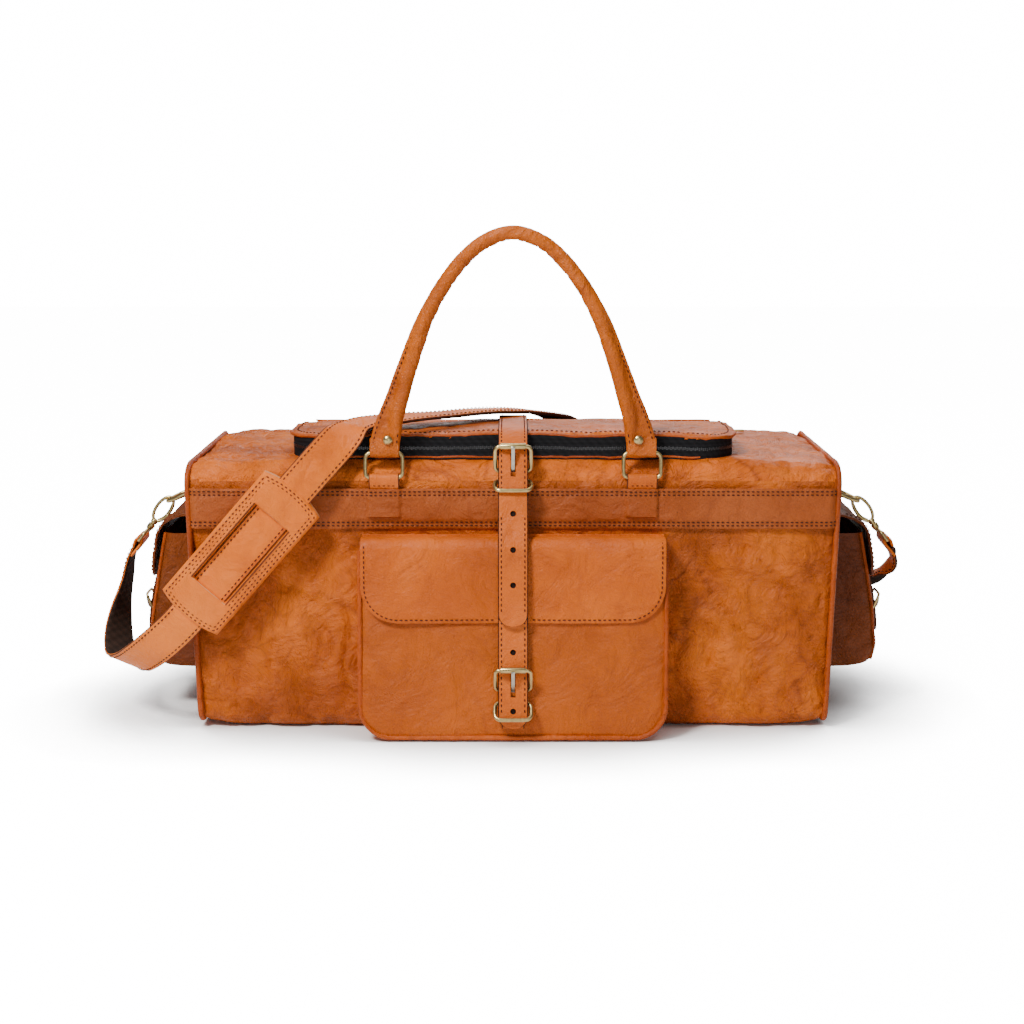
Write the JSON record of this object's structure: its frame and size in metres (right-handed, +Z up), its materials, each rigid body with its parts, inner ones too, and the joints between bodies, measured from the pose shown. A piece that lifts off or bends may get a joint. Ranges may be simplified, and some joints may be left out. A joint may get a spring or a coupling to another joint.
{
  "type": "weekender bag",
  "caption": "Soft leather travel bag with zipped lid, buckled centre strap and front pocket, end pockets, two carry handles and a clipped shoulder strap with pad.",
  "frame": {"origin": "centre of the base panel on the floor, under the middle of the body", "axes": "+X to the right when facing the front pocket, +Y towards the back of the bag, +Z up"},
  "size_m": [0.7966, 0.3425, 0.4756],
  "materials": {
    "tan_leather": "crinkled aniline leather, satin",
    "band_leather": "smoother leather, satin",
    "zip_tape": "black woven zip tape",
    "webbing": "leather on dark webbing backing, satin",
    "antique_brass": "antique brass",
    "lining_cloth": "cotton lining"
  },
  "bodies": {
    "bag_body": {"front_panel": "tan_leather", "back_panel": "tan_leather", "base_panel": "tan_leather", "end_panel_left": "tan_leather", "end_panel_right": "tan_leather", "top_panel": "tan_leather", "front_band": "band_leather", "lining": "lining_cloth", "zip_tape_body": "zip_tape", "pocket_face": "tan_leather", "pocket_gusset": "tan_leather", "upper_buckle_tab": "tan_leather", "lower_buckle_tab": "tan_leather", "handle_tab_front_left": "tan_leather", "handle_tab_front_right": "tan_leather", "handle_tab_back_left": "tan_leather", "handle_tab_back_right": "tan_leather", "end_pocket_left": "tan_leather", "end_pocket_right": "tan_leather", "shoulder_strap_front": "webbing", "shoulder_strap_back": "webbing"},
    "lid": {"lid_panel": "tan_leather", "zip_tape_lid": "zip_tape", "top_strap": "tan_leather", "strap_tongue": "tan_leather", "shoulder_strap_mid": "webbing"},
    "strap_end": {"strap_end": "tan_leather"},
    "zip_slider": {"zip_slider": "antique_brass"},
    "zip_pull": {"zip_pull": "antique_brass"},
    "pocket_flap": {"pocket_flap": "tan_leather", "pocket_strap": "tan_leather"},
    "upper_buckle_frame": {"upper_buckle_frame": "antique_brass"},
    "upper_buckle_roller": {"upper_buckle_roller": "antique_brass"},
    "upper_buckle_prong": {"upper_buckle_prong": "antique_brass"},
    "upper_keeper": {"upper_keeper_ring": "antique_brass"},
    "lower_buckle_frame": {"lower_buckle_frame": "antique_brass"},
    "lower_buckle_roller": {"lower_buckle_roller": "antique_brass"},
    "lower_buckle_prong": {"lower_buckle_prong": "antique_brass"},
    "lower_keeper": {"lower_keeper_ring": "antique_brass"},
    "front_ring_left": {"handle_ring_front_left": "antique_brass"},
    "front_ring_right": {"handle_ring_front_right": "antique_brass"},
    "front_handle": {"handle_front": "tan_leather", "handle_rivet_front_left": "antique_brass", "handle_rivet_front_right": "antique_brass"},
    "back_ring_left": {"handle_ring_back_left": "antique_brass"},
    "back_ring_right": {"handle_ring_back_right": "antique_brass"},
    "back_handle": {"handle_back": "tan_leather", "handle_rivet_back_left": "antique_brass", "handle_rivet_back_right": "antique_brass"},
    "end_flap_left": {"end_flap_left": "tan_leather"},
    "end_buckle_left": {"end_buckle_left": "antique_brass"},
    "d_ring_left": {"d_ring_left": "antique_brass"},
    "hook_left": {"hook_left": "antique_brass", "shoulder_end_left": "webbing"},
    "end_flap_right": {"end_flap_right": "tan_leather"},
    "end_buckle_right": {"end_buckle_right": "antique_brass"},
    "d_ring_right": {"d_ring_right": "antique_brass"},
    "hook_right": {"hook_right": "antique_brass", "shoulder_end_right": "webbing"},
    "shoulder_pad": {"shoulder_pad": "tan_leather"}
  },
  "joints": [
    {"name": "lid_open", "type": "hinge", "parent": "bag_body", "child": "lid", "pos_m": [0, 0.107, 0.262], "axis": [-1, 0, 0], "range_deg": [0, 100]},
    {"name": "pocket_flap_open", "type": "hinge", "parent": "bag_body", "child": "pocket_flap", "pos_m": [0, -0.136, 0.1876], "axis": [-1, 0, 0], "range_deg": [0, 90]},
    {"name": "strap_end_bend", "type": "hinge", "parent": "lid", "child": "strap_end", "pos_m": [0, -0.1516, 0.2234], "axis": [-1, 0, 0], "range_deg": [0, 90]},
    {"name": "zip_slider_run", "type": "slide", "parent": "bag_body", "child": "zip_slider", "axis": [0, -0.9984, 0.056], "range_m": [0, 0.11]},
    {"name": "zip_pull_lift", "type": "hinge", "parent": "zip_slider", "child": "zip_pull", "pos_m": [0.215, 0.076, 0.2598], "axis": [0, -1, 0], "range_deg": [0, 85]},
    {"name": "upper_buckle_swing", "type": "hinge", "parent": "bag_body", "child": "upper_buckle_frame", "pos_m": [0, -0.1359, 0.25], "axis": [1, 0, 0], "range_deg": [0, 20]},
    {"name": "upper_roller_spin", "type": "hinge", "parent": "upper_buckle_frame", "child": "upper_buckle_roller", "pos_m": [0, -0.1404, 0.2738], "axis": [1, 0, 0], "continuous": true},
    {"name": "upper_prong_lift", "type": "hinge", "parent": "upper_buckle_frame", "child": "upper_buckle_prong", "pos_m": [0, -0.1359, 0.25], "axis": [1, 0, 0], "range_deg": [0, 45]},
    {"name": "upper_keeper_swing", "type": "hinge", "parent": "bag_body", "child": "upper_keeper", "pos_m": [0, -0.1356, 0.2412], "axis": [-1, 0, 0], "range_deg": [0, 35]},
    {"name": "lower_buckle_swing", "type": "hinge", "parent": "bag_body", "child": "lower_buckle_frame", "pos_m": [0, -0.17009, 0.05], "axis": [1, 0, 0], "range_deg": [0, 20]},
    {"name": "lower_roller_spin", "type": "hinge", "parent": "lower_buckle_frame", "child": "lower_buckle_roller", "pos_m": [0, -0.1794, 0.0714], "axis": [1, 0, 0], "continuous": true},
    {"name": "lower_prong_lift", "type": "hinge", "parent": "lower_buckle_frame", "child": "lower_buckle_prong", "pos_m": [0, -0.17009, 0.05], "axis": [1, 0, 0], "range_deg": [0, 45]},
    {"name": "lower_keeper_swing", "type": "hinge", "parent": "bag_body", "child": "lower_keeper", "pos_m": [0, -0.17107, 0.0386], "axis": [-1, 0, 0], "range_deg": [0, 35]},
    {"name": "front_ring_swing", "type": "hinge", "parent": "bag_body", "child": "front_ring_left", "pos_m": [-0.12, -0.1316, 0.2432], "axis": [-1, 0, 0], "range_deg": [-90, 0]},
    {"name": "front_ring_swing_right", "type": "hinge", "parent": "bag_body", "child": "front_ring_right", "pos_m": [0.12, -0.1316, 0.2432], "axis": [-1, 0, 0], "range_deg": [-90, 0]},
    {"name": "front_handle_swing", "type": "hinge", "parent": "front_ring_left", "child": "front_handle", "pos_m": [0, -0.1276, 0.2662], "axis": [-1, 0, 0], "range_deg": [-70, 0]},
    {"name": "back_ring_swing", "type": "hinge", "parent": "bag_body", "child": "back_ring_left", "pos_m": [-0.12, 0.1316, 0.2432], "axis": [-1, 0, 0], "range_deg": [-130, 0]},
    {"name": "back_ring_swing_right", "type": "hinge", "parent": "bag_body", "child": "back_ring_right", "pos_m": [0.12, 0.1316, 0.2432], "axis": [-1, 0, 0], "range_deg": [-130, 0]},
    {"name": "back_handle_swing", "type": "hinge", "parent": "back_ring_left", "child": "back_handle", "pos_m": [0, 0.15179, 0.23148], "axis": [-1, 0, 0], "range_deg": [-75, 0]},
    {"name": "end_flap_left_open", "type": "hinge", "parent": "bag_body", "child": "end_flap_left", "pos_m": [-0.311, 0, 0.196], "axis": [0, 1, 0], "range_deg": [0, 65]},
    {"name": "d_ring_left_lift", "type": "hinge", "parent": "bag_body", "child": "d_ring_left", "pos_m": [-0.312, 0, 0.214], "axis": [0, 1, 0], "range_deg": [0, 65]},
    {"name": "hook_left_swing", "type": "hinge", "parent": "d_ring_left", "child": "hook_left", "pos_m": [-0.34417, 0, 0.20021], "axis": [0, 1, 0], "range_deg": [0, 12]},
    {"name": "end_buckle_left_swing", "type": "hinge", "parent": "bag_body", "child": "end_buckle_left", "pos_m": [-0.361, 0, 0.088], "axis": [0, 1, 0], "range_deg": [0, 10]},
    {"name": "end_flap_right_open", "type": "hinge", "parent": "bag_body", "child": "end_flap_right", "pos_m": [0.311, 0, 0.196], "axis": [0, -1, 0], "range_deg": [0, 65]},
    {"name": "d_ring_right_lift", "type": "hinge", "parent": "bag_body", "child": "d_ring_right", "pos_m": [0.312, 0, 0.214], "axis": [0, -1, 0], "range_deg": [0, 65]},
    {"name": "hook_right_swing", "type": "hinge", "parent": "d_ring_right", "child": "hook_right", "pos_m": [0.34417, 0, 0.20021], "axis": [0, -1, 0], "range_deg": [0, 12]},
    {"name": "end_buckle_right_swing", "type": "hinge", "parent": "bag_body", "child": "end_buckle_right", "pos_m": [0.361, 0, 0.088], "axis": [0, -1, 0], "range_deg": [0, 10]},
    {"name": "shoulder_pad_slide", "type": "slide", "parent": "bag_body", "child": "shoulder_pad", "axis": [0.6585, 0, 0.7526], "range_m": [-0.014, 0.014]}
  ],
  "couplings": [
    {"joint": "front_ring_swing_right", "follows": "front_ring_swing", "ratio": 1},
    {"joint": "back_ring_swing_right", "follows": "back_ring_swing", "ratio": 1},
    {"joint": "d_ring_left_lift", "follows": "end_flap_left_open", "ratio": 1},
    {"joint": "d_ring_right_lift", "follows": "end_flap_right_open", "ratio": 1},
    {"joint": "strap_end_bend", "follows": "pocket_flap_open", "ratio": 1}
  ]
}
